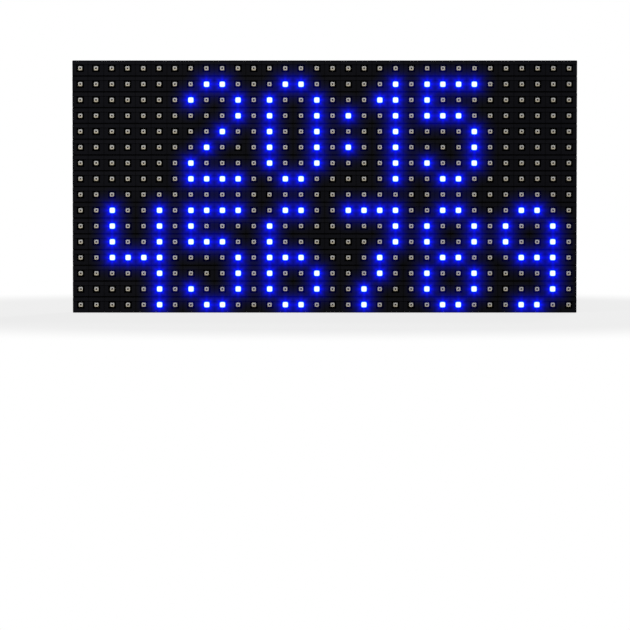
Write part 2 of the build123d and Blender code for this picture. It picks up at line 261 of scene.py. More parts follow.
class PartColours(PropertyGroup):
    """Colours of the parts on the board and of the screws, inserts and sticker."""

    chip: tint("Chips", "Moulded body of a chip", (0.003, 0.004, 0.004))
    black: tint("Black plastic", "Headers and capacitor bases", (0.003, 0.003, 0.004))
    lead: tint("Leads", "Tinned leads of a chip", (0.62, 0.61, 0.56))
    lead_pale: tint("Pale leads", "Paler spots on the leads", (0.82, 0.80, 0.74))
    solder: tint("Solder", "Solder on the pads", (0.16, 0.24, 0.16))
    can: tint("Cans", "Bare aluminium of the capacitor cans", (0.52, 0.52, 0.53))
    ceramic: tint("Ceramic", "Body of a chip capacitor", (0.25, 0.20, 0.13))
    ceramic_pale: tint("Pale ceramic", "Paler spots on the ceramic", (0.34, 0.28, 0.19))
    end_cap: tint("End caps", "Tinned ends of a chip capacitor", (0.78, 0.77, 0.74))
    pin: tint("Pins", "Gilded pins of the data headers", (0.92, 0.78, 0.50))
    contact: tint("Contacts", "Tinned contacts of the power header", (0.52, 0.47, 0.38))
    brass: tint("Brass", "Threaded inserts", (0.66, 0.38, 0.09))
    # Screws darkened well below bare steel: painted shade of their deep pockets
    pocket_shaded_steel: tint("Steel", "Case screws", (0.10, 0.10, 0.11))
    paper: tint("Paper", "Blank sticker", (0.70, 0.71, 0.73))
    paper_pale: tint("Pale paper", "Paler clouds on the sticker", (0.80, 0.81, 0.83))


class StageSizes(PropertyGroup):
    """Camera, floor and lamps. Picture places are pixels of a 630 by 630 picture."""

    picture: count("Picture", "Width of the picture in pixels", 630)
    left: amount("Left", "Module's left edge in the picture", 72.7)
    top: amount("Top", "Module's upper edge in the picture", 60.7)
    dot: amount("Dot pitch", "Distance between two dots in the picture", 15.75)
    lens: amount("Lens", "Focal length", 200.0, unit="CAMERA")
    sensor: amount("Sensor", "Sensor width", 36.0, unit="CAMERA")
    ambient: amount("Ambient", "Light from all round", 0.025)
    key: amount("Key", "Power of a key lamp in watts", 52.0)
    lamp: length("Lamp", "Width of a key lamp", 300.0)
    lamp_distance: length("Lamp distance", "From the module to a key lamp", 1900.0)
    front_height: angle("Front lamp height", "Angle of the front lamp above the module", 32.0)
    front_aside: length("Front lamp aside", "How far it stands to the viewer's left", 1000.0)
    back_height: angle("Back lamp height", "Angle of the back lamp above the module", 44.5)
    back_aside: length("Back lamp aside", "How far it stands to the viewer's left", 420.0)
    floor: length("Floor", "Width of the floor", 9000.0)
    white: tint("Floor colour", "Pale floor", (0.15, 0.15, 0.15))
    shade: amount("Shadow", "Share of the shadows that the camera sees on the floor", 0.18,
                  subtype="FACTOR")
    fade: length("Fade", "Distance at which the floor turns plain white to the camera", 450.0)


class Value:
    """A number in a material, so that shader maths reads as plain expressions."""

    def __init__(self, owner, socket):
        self.owner = owner
        self.socket = socket

    def maths(self, operation, *others):
        values = dict(enumerate((self, *others)))
        node = self.owner.node("ShaderNodeMath", {"operation": operation}, values)
        return Value(self.owner, node.outputs[0])

    def __add__(self, other):
        return self.maths("ADD", other)

    def __sub__(self, other):
        return self.maths("SUBTRACT", other)

    def __rsub__(self, other):
        return self.maths("MULTIPLY", -1.0).maths("ADD", other)

    def __mul__(self, other):
        return self.maths("MULTIPLY", other)

    def __truediv__(self, other):
        return self.maths("DIVIDE", other)

    def __rtruediv__(self, other):
        return self.maths("POWER", -1.0).maths("MULTIPLY", other)

    def __pow__(self, other):
        return self.maths("POWER", other)

    def __gt__(self, other):
        return self.maths("GREATER_THAN", other)

    def __abs__(self):
        return self.maths("ABSOLUTE")

    __radd__ = __add__
    __rmul__ = __mul__

    def floor(self):
        return self.maths("FLOOR")

    def fraction(self):
        return self.maths("FRACT")

    def highest(self, other):
        return self.maths("MAXIMUM", other)

    def lowest(self, other):
        return self.maths("MINIMUM", other)

    def between(self, low, high):
        """0 below low, 1 above high and smooth between them."""
        settings = {"interpolation_type": "SMOOTHSTEP"}
        values = {"Value": self, "From Min": low, "From Max": high}
        node = self.owner.node("ShaderNodeMapRange", settings, values)
        return Value(self.owner, node.outputs[0])

    def until(self, low, high):
        """1 below low, 0 above high and smooth between them."""
        return 1 - self.between(low, high)

    def in_step(self, step):
        """Where it lies in its own step, from -0.5 to 0.5 of the step."""
        return (self / step).fraction() - 0.5


class NodeTree:
    """The nodes of a material or world. Every node in it comes from the method node."""

    def __init__(self, owner):
        owner.use_nodes = True
        self.tree = owner.node_tree
        self.tree.nodes.clear()

    def node(self, kind, settings, values):
        """Makes one node: its settings first, then the values or links of its sockets."""
        made = self.tree.nodes.new(kind)
        for name, setting in settings.items():
            setattr(made, name, setting)
        for name, value in values.items():
            if isinstance(value, Value):
                value = value.socket
            if isinstance(value, bpy.types.NodeSocket):
                self.tree.links.new(value, made.inputs[name])
            else:
                made.inputs[name].default_value = value
        return made


class Finish(NodeTree):
    """One material, with its shader and its object coordinates."""

    def __init__(self, name, **constants):
        self.material = bpy.data.materials.new(name)
        super().__init__(self.material)
        named = {key.replace("_", " "): value for key, value in constants.items()}
        self.shader = self.node("ShaderNodeBsdfPrincipled", {}, named)
        self.output = self.node("ShaderNodeOutputMaterial", {}, {"Surface": self.shader.outputs[0]})
        self.place = self.node("ShaderNodeTexCoord", {}, {}).outputs["Object"]

    def axes(self):
        """The piece's x, y and z in millimetres."""
        scaled = self.scaled(1 / MM, 1 / MM, 1 / MM)
        outputs = self.node("ShaderNodeSeparateXYZ", {}, {0: scaled}).outputs
        return [Value(self, socket) for socket in outputs]

    def cell(self):
        """Where x and z lie in their dot's cell, from -0.5 to 0.5 of the pitch."""
        x, _, z = self.axes()
        return x.in_step(PITCH / MM), z.in_step(PITCH / MM)

    def scaled(self, x, y, z):
        """Object coordinates, stretched along each axis."""
        settings = {"operation": "MULTIPLY"}
        return self.node("ShaderNodeVectorMath", settings, {0: self.place, 1: (x, y, z)}).outputs[0]

    def noise(self, vector, detail=3.0, scale=1.0, roughness=0.5):
        values = {"Vector": vector, "Detail": detail, "Scale": scale, "Roughness": roughness}
        return Value(self, self.node("ShaderNodeTexNoise", {}, values).outputs[0])

    def stretched(self, stretch, detail, roughness):
        """Noise whose features are about one metre long, divided by the stretch along each axis."""
        return self.noise(self.scaled(*stretch), detail, 1.0, roughness)

    def grain(self, size, detail=3.0):
        """Noise whose features are about this many millimetres wide."""
        return self.noise(self.place, detail, 1 / (size * MM))

    def chance(self, x, z):
        """A random number for each pair of whole numbers."""
        vector = self.node("ShaderNodeCombineXYZ", {}, {0: x, 1: z}).outputs[0]
        settings = {"noise_dimensions": "2D"}
        node = self.node("ShaderNodeTexWhiteNoise", settings, {"Vector": vector})
        return Value(self, node.outputs[0])

    def mix(self, factor, low, high):
        """A colour between two colours or colour sockets."""
        values = {0: factor, 6: solid(low), 7: solid(high)}
        return self.node("ShaderNodeMix", {"data_type": "RGBA"}, values).outputs[2]

    def bump(self, height, distance, strength=1.0):
        values = {"Height": height, "Distance": distance * MM, "Strength": strength}
        self.set(Normal=self.node("ShaderNodeBump", {}, values).outputs[0])

    def set(self, **sockets):
        """Links sockets of the shader."""
        for name, value in sockets.items():
            socket = value.socket if isinstance(value, Value) else value
            self.tree.links.new(socket, self.shader.inputs[name.replace("_", " ")])


def solid(colour):
    """A colour with its alpha, or a socket as it is."""
    return colour if isinstance(colour, bpy.types.NodeSocket) else (*colour, 1.0)


def shaded(colour, share):
    """A darker or paler copy of a colour."""
    return tuple(channel * share for channel in colour)


def plain(name, low, high, size, roughness, spread=0.1, bump=0.0, **constants):
    """A finish that varies between two colours, with grain of one size in millimetres."""
    finish = Finish(name, **constants)
    grain = finish.grain(size)
    finish.set(Base_Color=finish.mix(grain.between(0.3, 0.7), low, high),
               Roughness=roughness + (grain - 0.5) * spread)
    if bump:
        finish.bump(grain, bump)
    return finish.material


def black_plastic(name, tone, size, roughness, spread=0.1, bump=0.0):
    """Black moulded plastic, between a tone and a slightly paler one."""
    lift = 0.005
    pale = tuple(channel + lift for channel in tone)
    return plain(name, tone, pale, size, roughness, spread, bump, Specular_IOR_Level=0.06)


def metal(name, colour, roughness, size=0.6, spread=0.12):
    """A metal whose colour and polish vary a little."""
    return plain(name, shaded(colour, 0.88), shaded(colour, 1.08), size, roughness, spread, 0.01,
                 Metallic=1.0)


def square_ring(u, v):
    """Distance from the middle, measured so that equal distances make a square with round corners."""
    return (u * u * u * u + v * v * v * v) ** 0.25


def add_painted_glow(finish, dots):
    """Glow of the lit dots: a lit package's own light, and painted glow on the mask, the coating
    and the packages round it. Blue from a cell's own dot and its eight neighbours, white at a core.
    """
    # Cells out to which the painted glow reaches, where a core's cyan and white fade, in core widths,
    # and how much green is in the blue
    reach = 1.5
    cyan_edge, white_edge, green_share = (0.84, 1.16), (0.78, 1.06), 0.004
    u, v = finish.cell()
    radius = dots.glow_radius / PITCH
    cut = dots.glow / (1 + (reach / radius) ** dots.glow_fall)
    total = own = None
    for line, row in LIT_LINES.items():
        attribute = finish.node("ShaderNodeAttribute", {"attribute_name": line}, {})
        states = finish.node("ShaderNodeSeparateColor", {}, {0: attribute.outputs["Color"]}).outputs
        across = (v - row) * (v - row)
        for column, state in zip((-1, 0, 1), states):
            along = (u - column) * (u - column)
            square = along + across
            # The cosine of four times the angle, which gives eight rays when squared
            quarter = 1 - 8 * along * across / (square * square)
            rays = 1 + (quarter * quarter * 2 - 1) * dots.glow_rays
            fall = dots.glow / (1 + (square / radius ** 2) ** (dots.glow_fall / 2)) - cut
            lit = Value(finish, state)
            light = (fall * rays).highest(0.0) * lit
            total = light if total is None else total + light
            if (row, column) == (0, 0):
                own = lit
    core = square_ring(u, v) * (PITCH / dots.core)
    blue = total.lowest(1.0)
    green = blue * green_share + core.until(*cyan_edge) * own
    red = core.until(*white_edge) * own
    colour = finish.node("ShaderNodeCombineColor", {}, {0: red, 1: green, 2: blue}).outputs[0]
    finish.set(Emission_Color=colour)


def lit_dots(dots):
    """The cells of the lit dots, as whole steps from the module's middle."""
    lit = set()
    for text, top in ((dots.upper, dots.upper_row), (dots.lower, dots.lower_row)):
        glyphs = [DIGITS[character] for character in text]
        width = sum(len(glyph[0]) + 1 for glyph in glyphs) - 1
        column = math.ceil((COLUMNS - width) / 2) - COLUMNS // 2
        for glyph in glyphs:
            for down, line in enumerate(glyph):
                row = len(ROWS) // 2 - 1 - top - down
                lit.update((column + i, row) for i, mark in enumerate(line) if mark == "#")
            column += len(glyph[0]) + 1
    return lit


def mark_cells(bm, lit):
    """Gives each face, except those turned to the back, the states of its cell's dot and of the eight
    dots round it, for the painted glow.
    """
    bm.normal_update()
    layers = {bm.loops.layers.float_color.new(name): step for name, step in LIT_LINES.items()}
    for face in bm.faces:
        centre = face.calc_center_median() / PITCH
        column = math.floor(centre.x)
        row = math.floor(centre.z)
        for layer, step in layers.items():
            states = [float(face.normal.y < 0.5 and (column + side, row + step) in lit)
                      for side in (-1, 0, 1)]
            for loop in face.loops:
                loop[layer] = (*states, 1.0)


def keep(bm, name, finishes, replaced=(), smooth=True):
    """Makes a finished piece that rides on the module."""
    mesh = bpy.data.meshes.new(name)
    for face in bm.faces:
        face.smooth = smooth
    bm.to_mesh(mesh)
    bm.free()
    for finish in finishes:
        mesh.materials.append(finish)
    piece = bpy.data.objects.new(name, mesh)
    if smooth:
        mesh.set_sharp_from_angle(angle=SHARP)
        modifier = piece.modifiers.new("normals", "WEIGHTED_NORMAL")
        modifier.keep_sharp = True
    bpy.context.scene.collection.objects.link(piece)
    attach(piece, "root")
    if replaced:
        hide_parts(*replaced)


def dress(node, finish):
    """Gives a CAD node its finish."""
    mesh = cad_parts[node].data
    mesh.materials.clear()
    mesh.materials.append(finish)


def shift(x=0.0, y=0.0, z=0.0):
    return Matrix.Translation((x, y, z))


def verts_of(result):
    return [item for item in result["geom"] if isinstance(item, bmesh.types.BMVert)]


def whole(bm):
    return bm.verts[:] + bm.edges[:] + bm.faces[:]


def merge(bm):
    bmesh.ops.remove_doubles(bm, verts=bm.verts, dist=MERGE)


def outwards(bm):
    bmesh.ops.recalc_face_normals(bm, faces=bm.faces)
    return bm


def bevel(bm, edges, offset, segments):
    bmesh.ops.bevel(bm, geom=edges, offset=offset, segments=segments, affect="EDGES",
                    profile=0.5, material=-1, clamp_overlap=True)


def sharp_edges(bm):
    return [edge for edge in bm.edges if len(edge.link_faces) == 2 and edge.calc_face_angle() > SHARP]


def pushed(bm, faces, offset):
    """Extrudes faces by an offset, with nothing left where they were. Gives the new verts and faces."""
    made = bmesh.ops.extrude_face_region(bm, geom=faces)
    bmesh.ops.delete(bm, geom=[face for face in faces if face.is_valid], context="FACES_ONLY")
    bmesh.ops.delete(bm, geom=[edge for edge in bm.edges if edge.is_wire], context="EDGES")
    verts = verts_of(made)
    bmesh.ops.translate(bm, verts=verts, vec=offset)
    return verts, [item for item in made["geom"] if isinstance(item, bmesh.types.BMFace)]


def block(low, high, edge=0.0):
    """A box between two corners, with its edges chamfered by edge."""
    low, high = Vector(low), Vector(high)
    bm = bmesh.new()
    place = Matrix.Translation((low + high) / 2) @ Matrix.Diagonal((*(high - low), 1.0))
    bmesh.ops.create_cube(bm, size=1.0, matrix=place)
    if edge:
        bevel(bm, bm.edges[:], edge, 1)
    return bm


def lathe(profile, steps):
    """Turns (radius, height) points round the Y axis, which points to the module's back."""
    bm = bmesh.new()
    points = [bm.verts.new((radius, height, 0.0)) for radius, height in profile]
    for start, end in zip(points, points[1:]):
        bm.edges.new((start, end))
    bmesh.ops.spin(bm, geom=whole(bm), axis=(0, 1, 0), cent=(0, 0, 0), angle=math.tau, steps=steps,
                   use_merge=True)
    merge(bm)
    return outwards(bm)


def cylinder(radius, start, end, steps):
    """A round bar along the Y axis, between two heights."""
    return lathe([(0.0, start), (radius, start), (radius, end), (0.0, end)], steps)


def stadium(width, reach, depth):
    """A solid slot along X with round ends, from depth below to depth above the plane y = 0."""
    bm = bmesh.new()
    bmesh.ops.create_cone(bm, cap_ends=True, segments=32, radius1=width / 2, radius2=width / 2,
                          depth=2 * depth, matrix=Matrix.Rotation(math.pi / 2, 4, "X"))
    for side in (-1, 1):
        end = [vert for vert in bm.verts if vert.co.x * side > MERGE]
        bmesh.ops.translate(bm, verts=end, vec=(side * (reach - width) / 2, 0, 0))
    return bm


def ribbon(path, width, thickness):
    """A bent strip of metal through (y, z) points."""
    bm = bmesh.new()
    ends = [bm.verts.new((side * width / 2, *path[0])) for side in (-1, 1)]
    edge = bm.edges.new(ends)
    for before, after in zip(path, path[1:]):
        made = bmesh.ops.extrude_edge_only(bm, edges=[edge])
        verts = verts_of(made)
        bmesh.ops.translate(bm, verts=verts, vec=(0, after[0] - before[0], after[1] - before[1]))
        edge = bm.edges.get(verts)
    bmesh.ops.solidify(bm, geom=bm.faces[:], thickness=thickness)
    return outwards(bm)


def stamp(target, shape, places, finish=0):
    """Copies a small shape into a larger one at each place, then frees it."""
    mesh = bpy.data.meshes.new("stamp")
    for face in shape.faces:
        face.material_index += finish
    shape.to_mesh(mesh)
    shape.free()
    for place in places:
        first = len(target.verts)
        target.from_mesh(mesh)
        target.verts.ensure_lookup_table()
        bmesh.ops.transform(target, matrix=place, verts=target.verts[first:])
    bpy.data.meshes.remove(mesh)


def cut(shape, tool):
    """Takes one closed shape out of another."""
    objects = []
    for bm in (shape, tool):
        mesh = bpy.data.meshes.new("cut")
        bm.to_mesh(mesh)
        bm.free()
        objects.append(bpy.data.objects.new("cut", mesh))
        bpy.context.scene.collection.objects.link(objects[-1])
    body, cutter = objects
    modifier = body.modifiers.new("cut", "BOOLEAN")
    modifier.operation = "DIFFERENCE"
    modifier.solver = "EXACT"
    modifier.object = cutter
    result = bmesh.new()
    result.from_object(body, bpy.context.evaluated_depsgraph_get())
    for item in objects:
        mesh = item.data
        bpy.data.objects.remove(item)
        bpy.data.meshes.remove(mesh)
    return result


def copied(node):
    """A merged copy of a CAD node's mesh, with its flat faces joined."""
    bm = bmesh.new()
    bm.from_mesh(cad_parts[node].data)
    for layer in list(bm.loops.layers.uv.values()):
        bm.loops.layers.uv.remove(layer)
    merge(bm)
    bmesh.ops.dissolve_limit(bm, angle_limit=FLAT, verts=bm.verts[:], edges=bm.edges[:])
    return bm


def centre_of(node):
    low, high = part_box(node)
    return (low + high) / 2


def solids_of(node):
    """The middle of each separate solid of a CAD node."""
    bm = copied(node)
    centres = []
    left = set(bm.verts)
    while left:
        found = {left.pop()}
        edge = list(found)
        while edge:
            vert = edge.pop()
            near = {other.other_vert(vert) for other in vert.link_edges} - found
            found |= near
            edge.extend(near)
        left -= found
        low = Vector(min(vert.co[axis] for vert in found) for axis in range(3))
        high = Vector(max(vert.co[axis] for vert in found) for axis in range(3))
        centres.append((low + high) / 2)
    bm.free()
    return sorted(centres, key=lambda centre: (-round(centre.z, 5), centre.x))


def places_of(node, y):
    """The move from the origin to each separate solid of a CAD node, at y."""
    return [shift(centre.x, y, centre.z) for centre in solids_of(node)]


def keep_softened(node, edge, ending, finish):
    """Keeps a CAD node's shape with its sharp edges chamfered."""
    bm = copied(node)
    bevel(bm, sharp_edges(bm), edge, 1)
    keep(bm, node + ending, [finish], [node])


def keep_copies(shape, node, y, ending, finish):
    """Keeps a copy of a shape in place of each solid of a CAD node, standing at y."""
    bm = bmesh.new()
    stamp(bm, shape, places_of(node, y))
    keep(bm, node + ending, [finish], [node])


def in_cell(point):
    """Where a point lies from the middle of its cell."""
    return Vector(((point.x / PITCH % 1 - 0.5) * PITCH, 0.0, (point.z / PITCH % 1 - 0.5) * PITCH))


def tile(bm, step, times):
    """Repeats a shape by a step, so that it is there a number of times."""
    base = whole(bm)
    for i in range(1, times):
        made = bmesh.ops.duplicate(bm, geom=base)
        bmesh.ops.translate(bm, verts=verts_of(made), vec=Vector(step) * i)


def cell_sheet(cuts_x, cuts_z, depth):
    """A flat sheet of all the cells, each cut along the same lines."""
    bm = bmesh.new()
    bmesh.ops.create_grid(bm, x_segments=1, y_segments=1, size=PITCH / 2)
    bmesh.ops.rotate(bm, verts=bm.verts, cent=(0, 0, 0), matrix=Matrix.Rotation(math.pi / 2, 3, "X"))
    planes = [((x, 0, 0), (1, 0, 0)) for x in cuts_x] + [((0, 0, z), (0, 0, 1)) for z in cuts_z]
    for point, normal in planes:
        bmesh.ops.bisect_plane(bm, geom=whole(bm), plane_co=point, plane_no=normal)
    corner = (PITCH / 2 - HALF.x, -depth, PITCH / 2 - HALF.z)
    bmesh.ops.translate(bm, verts=bm.verts, vec=corner)
    tile(bm, (PITCH, 0, 0), COLUMNS)
    tile(bm, (0, 0, PITCH), len(ROWS))
    merge(bm)
    return bm


def clamp_border(verts, inset):
    """Pulls the outermost verts in by the inset."""
    for vert in verts:
        vert.co.x = max(inset - HALF.x, min(HALF.x - inset, vert.co.x))
        vert.co.z = max(inset - HALF.z, min(HALF.z - inset, vert.co.z))


def cell_lines(sizes):
    """Distances from a cell's middle to the edge of its window and to the groove's edge."""
    return sizes.window / 2, (PITCH - sizes.groove_width) / 2


def front_sheet(sizes, land, back):
    """The mask's plate: a front and a back sheet joined by the walls of the windows."""
    half, edge = cell_lines(sizes)
    bm = cell_sheet((-half, half), (-edge, -half, half, edge), land)
    behind = bmesh.ops.duplicate(bm, geom=whole(bm))
    back_verts = verts_of(behind)
    bmesh.ops.translate(bm, verts=back_verts, vec=(0, sizes.plate, 0))
    clamp_border(back_verts, sizes.skirt)
    bmesh.ops.reverse_faces(bm, faces=[f for f in behind["geom"] if isinstance(f, bmesh.types.BMFace)])

    def is_window(face):
        place = in_cell(face.calc_center_median())
        return abs(place.x) < half and abs(place.z) < half

    front = [face for face in bm.faces if is_window(face) and face.verts[0].co.y < -back - MERGE]
    pushed(bm, front, (0, sizes.plate, 0))
    ends = [face for face in bm.faces if is_window(face) and abs(face.normal.y) > 0.5]
    bmesh.ops.delete(bm, geom=ends, context="FACES")
    merge(bm)
    return bm


def add_lips_and_grooves(bm, sizes, land):
    """Raises the shade lip over each row and sinks the groove between two rows."""
    half, edge = cell_lines(sizes)
    lips, grooves = [], []
    for face in bm.faces:
        centre = face.calc_center_median()
        if abs(centre.y + land) > MERGE:
            continue
        place = in_cell(centre)
        if half < place.z < edge:
            lips.append(face)
        if abs(place.z) > edge and abs(centre.z) < HALF.z - PITCH / 2:
            grooves.append(face)
    raised, _ = pushed(bm, lips, (0, -sizes.lip_back, 0))
    crest = [vert for vert in raised if in_cell(vert.co).z < (half + edge) / 2]
    bmesh.ops.translate(bm, verts=crest, vec=(0, sizes.lip_back - sizes.lip, 0))
    pushed(bm, grooves, (0, sizes.groove_depth, 0))
    ends = [f for f in bm.faces if all(abs(abs(v.co.x) - HALF.x) < MERGE for v in f.verts)]
    bmesh.ops.delete(bm, geom=ends, context="FACES")


def add_skirt(bm, sizes, back):
    """Closes the mask with its outer walls, the rim at the seam and the inner walls."""
    steps = [(back, SEAM, 0.0), (SEAM, SEAM, sizes.skirt), (SEAM, back, sizes.skirt)]
    for i, (start, end, inset) in enumerate(steps):
        border = [e for e in bm.edges if e.is_boundary]
        if i == 0:
            border = [e for e in border if max(v.co.y for v in e.verts) < -start - MERGE]
        else:
            border = [e for e in border if all(abs(v.co.y + start) < MERGE for v in e.verts)]
        verts = verts_of(bmesh.ops.extrude_edge_only(bm, edges=border))
        for vert in verts:
            vert.co.y = -end
        clamp_border(verts, inset)
        merge(bm)
    bmesh.ops.dissolve_degenerate(bm, dist=MERGE, edges=bm.edges[:])
    corners = [e for e in bm.edges if all(abs(abs(v.co.x) - HALF.x) < MERGE for v in e.verts)
               and all(abs(abs(v.co.z) - HALF.z) < MERGE for v in e.verts)]
    bevel(bm, corners, sizes.edge, 3)


def mask_finish(sizes, dots):
    """Black moulded plastic: fine grain, a faint joint between cells, painted shade along the grooves
    between rows and the painted glow of the dots.
    """
    joint_edge, groove_shade_edge = (0.015, 0.055), (0.03, 0.055)
    finish = Finish("mask_plastic", Specular_IOR_Level=0.025, Emission_Strength=1.0)
    u, v = finish.cell()
    joint = (0.5 - abs(u)).until(*joint_edge)
    # Painted shade: the plastic darkens along the grooves between two rows
    line = (0.5 - abs(v)).until(*groove_shade_edge)
    cloud = finish.grain(14.0, 2.0)
    # How pale the plastic is: random clouds, darker at the joints and in the painted groove shade
    pale = (0.35 + cloud * 0.6) * (1 - joint * 0.7) * (1 - line * 0.9)
    grain = finish.grain(0.35, 2.0)
    finish.set(Base_Color=finish.mix(pale, shaded(sizes.colour, 0.25), shaded(sizes.colour, 1.5)),
               Roughness=0.62 + grain * 0.2)
    finish.bump(grain * 0.4 - joint, 0.05, 0.6)
    add_painted_glow(finish, dots)
    return finish.material


class LEDMODULE_OT_front_mask(Operator):
    """Front mask with a window for each dot, shade lips, grooves and skirt"""

    bl_idname = "ledmodule.front_mask"
    bl_label = "Front mask"

    def execute(self, context):
        sizes = context.scene.led_mask
        dots = context.scene.led_dots
        land = LIP_EDGE - sizes.lip
        back = land - sizes.plate
        bm = front_sheet(sizes, land, back)
        add_lips_and_grooves(bm, sizes, land)
        add_skirt(bm, sizes, back)
        bmesh.ops.dissolve_degenerate(bm, dist=MERGE, edges=bm.edges[:])
        outwards(bm)
        boss = cylinder(sizes.boss, -back, -BOARD_BACK, 20)
        stamp(bm, boss, places_of("case_screws", 0.0))
        mark_cells(bm, lit_dots(dots))
        keep(bm, "front_mask_louvred", [mask_finish(sizes, dots)], ["front_mask"])
        return {"FINISHED"}


def package(sizes):
    """One LED package: rounded square body with a round cup, a little narrower at its floor."""
    cup_draft = 0.9
    half = sizes.body / 2
    bm = block((-half, -DOT_TOP, -half), (half, -SEAM, half))
    bevel(bm, [e for e in bm.edges if abs(e.verts[0].co.y - e.verts[1].co.y) > half], sizes.corner, 2)
    top = min(bm.faces, key=lambda face: face.calc_center_median().y)
    bevel(bm, list(top.edges), sizes.edge, 1)
    top = min(bm.faces, key=lambda face: face.calc_center_median().y)
    bmesh.ops.inset_region(bm, faces=[top], thickness=half / 3)
    for vert in top.verts:
        flat = Vector((vert.co.x, 0, vert.co.z)).normalized() * sizes.cup
        vert.co = (flat.x, vert.co.y, flat.z)
    verts, floor = pushed(bm, [top], (0, sizes.cup_depth, 0))
    bmesh.ops.scale(bm, verts=verts, vec=(cup_draft, 1.0, cup_draft))
    for face in floor:
        face.material_index = 1
    return outwards(bm)


def package_finish(sizes):
    """Pale moulded body, warm towards its lower edge, cool towards its upper one, with painted shade at
    its rim and the lit dots' glow, painted on their neighbours.
    """
    warm, cool = (0.98, 0.88, 0.66), (0.96, 1.02, 1.16)
    finish = Finish("led_body", Specular_IOR_Level=0.3, Emission_Strength=1.0)
    u, v = finish.cell()
    edge = sizes.body / PITCH / 2
    # Painted shade on the rounded edge of the package
    rim = square_ring(u, v).between(edge - sizes.rim / PITCH, edge)
    below, above = (tuple(a * b for a, b in zip(sizes.colour, cast)) for cast in (warm, cool))
    tone = finish.mix(v.between(-0.16, 0.16), below, above)
    tone = finish.mix(finish.grain(9.0).between(0.35, 0.75) * 0.35, tone, sizes.colour)
    finish.set(Base_Color=finish.mix(rim * 0.8, tone, shaded(sizes.colour, 0.12)),
               Roughness=0.45 + finish.grain(0.8) * 0.15)
    add_painted_glow(finish, sizes)
    return finish.material


def lens_finish(sizes):
    """Dark brown filling of the cup, with faint clouds in it and the glow of the lit dots, painted on
    their neighbours.
    """
    finish = Finish("led_lens", Specular_IOR_Level=0.4, Emission_Strength=1.0)
    tone = finish.mix(finish.grain(4.0), shaded(sizes.lens, 0.5), shaded(sizes.lens, 1.6))
    finish.set(Base_Color=tone, Roughness=0.2 + finish.grain(0.5) * 0.1)
    add_painted_glow(finish, sizes)
    return finish.material


class LEDMODULE_OT_dots(Operator):
    """LED packages, one piece for each row"""

    bl_idname = "ledmodule.dots"
    bl_label = "LED rows"

    def execute(self, context):
        sizes = context.scene.led_dots
        lit = lit_dots(sizes)
        finishes = [package_finish(sizes), lens_finish(sizes)]
        for row in ROWS:
            height = centre_of(row).z
            bm = bmesh.new()
            places = [shift((column + 0.5) * PITCH - HALF.x, 0, height) for column in range(COLUMNS)]
            stamp(bm, package(sizes), places)
            mark_cells(bm, lit)
            keep(bm, row + "_packages", finishes, [row])
        return {"FINISHED"}


def layer_finish(sizes):
    """Dark coating between the packages, with the painted glow of the lit dots on it."""
    finish = Finish("front_layer", Specular_IOR_Level=0.01, Emission_Strength=1.0)
    grain = finish.grain(1.2)
    finish.set(Base_Color=finish.mix(grain, shaded(sizes.layer, 0.6), shaded(sizes.layer, 1.5)),
               Roughness=0.5 + grain * 0.2)
    add_painted_glow(finish, sizes)
    return finish.material


class LEDMODULE_OT_front_layer(Operator):
    """Dark coating on the front of the board"""

    bl_idname = "ledmodule.front_layer"
    bl_label = "Front coating"

    def execute(self, context):
        sizes = context.scene.led_dots
        inset = HALF.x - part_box("circuit_board")[1].x
        bm = cell_sheet((), (), SEAM + sizes.layer_thick)
        clamp_border(bm.verts, inset)
        made = bmesh.ops.extrude_face_region(bm, geom=bm.faces[:], use_keep_orig=True)
        bmesh.ops.translate(bm, verts=verts_of(made), vec=(0, sizes.layer_thick, 0))
        outwards(bm)
        mark_cells(bm, lit_dots(sizes))
        keep(bm, "front_coating", [layer_finish(sizes)])
        return {"FINISHED"}


